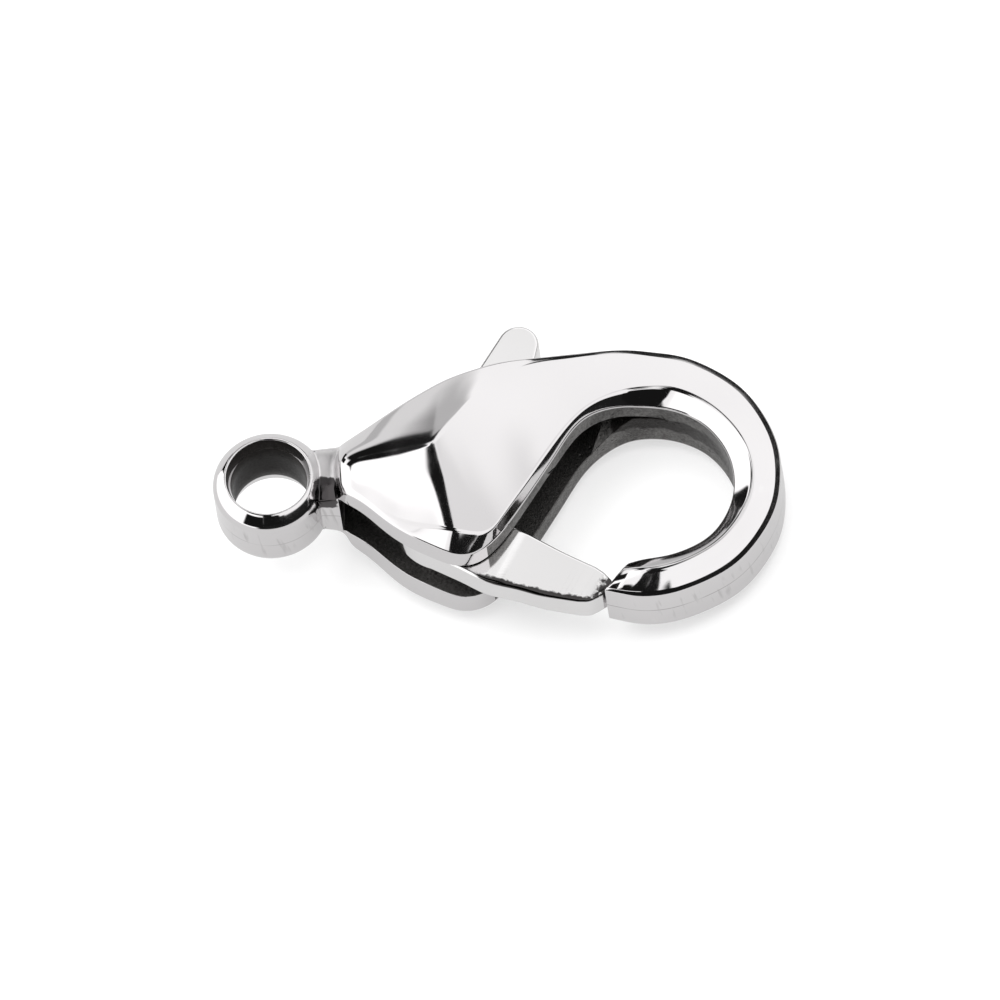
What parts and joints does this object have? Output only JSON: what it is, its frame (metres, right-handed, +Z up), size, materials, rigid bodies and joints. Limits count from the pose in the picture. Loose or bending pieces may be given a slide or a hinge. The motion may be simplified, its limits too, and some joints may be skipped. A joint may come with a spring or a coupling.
{
  "type": "lobster clasp",
  "caption": "Cast clasp body with a ring at one end and a hook at the other, slotted for a sprung lever that turns on a pin and has a thumb tab.",
  "frame": {"origin": "centre of the ring's bore, halfway along it", "axes": "+X from the ring towards the hook, +Y away from the mouth, +Z up as the clasp lies on a table, with the hook's end tipped down by 7 degrees"},
  "size_m": [0.0099, 0.0054, 0.0029],
  "materials": {
    "body": "cast stainless steel, mirror polished outside and left rough in the slot",
    "lever": "stamped stainless steel, mirror polished",
    "pin": "ground flush and polished",
    "spring": "drawn spring wire"
  },
  "bodies": {
    "clasp_body": {"body": "body", "pivot_pin": "pin", "spring": "spring"},
    "clasp_lever": {"lever": "lever"}
  },
  "joints": [
    {"name": "lever_pivot", "type": "hinge", "parent": "clasp_body", "child": "clasp_lever", "pos_m": [0.00311, -0.00064, -0.00007], "axis": [0.122, 0.0175, 0.9924], "range_deg": [0, 28], "stiffness_Nm_per_rad": 0.0015, "springref_deg": -34.38, "deforming": ["spring"]}
  ]
}
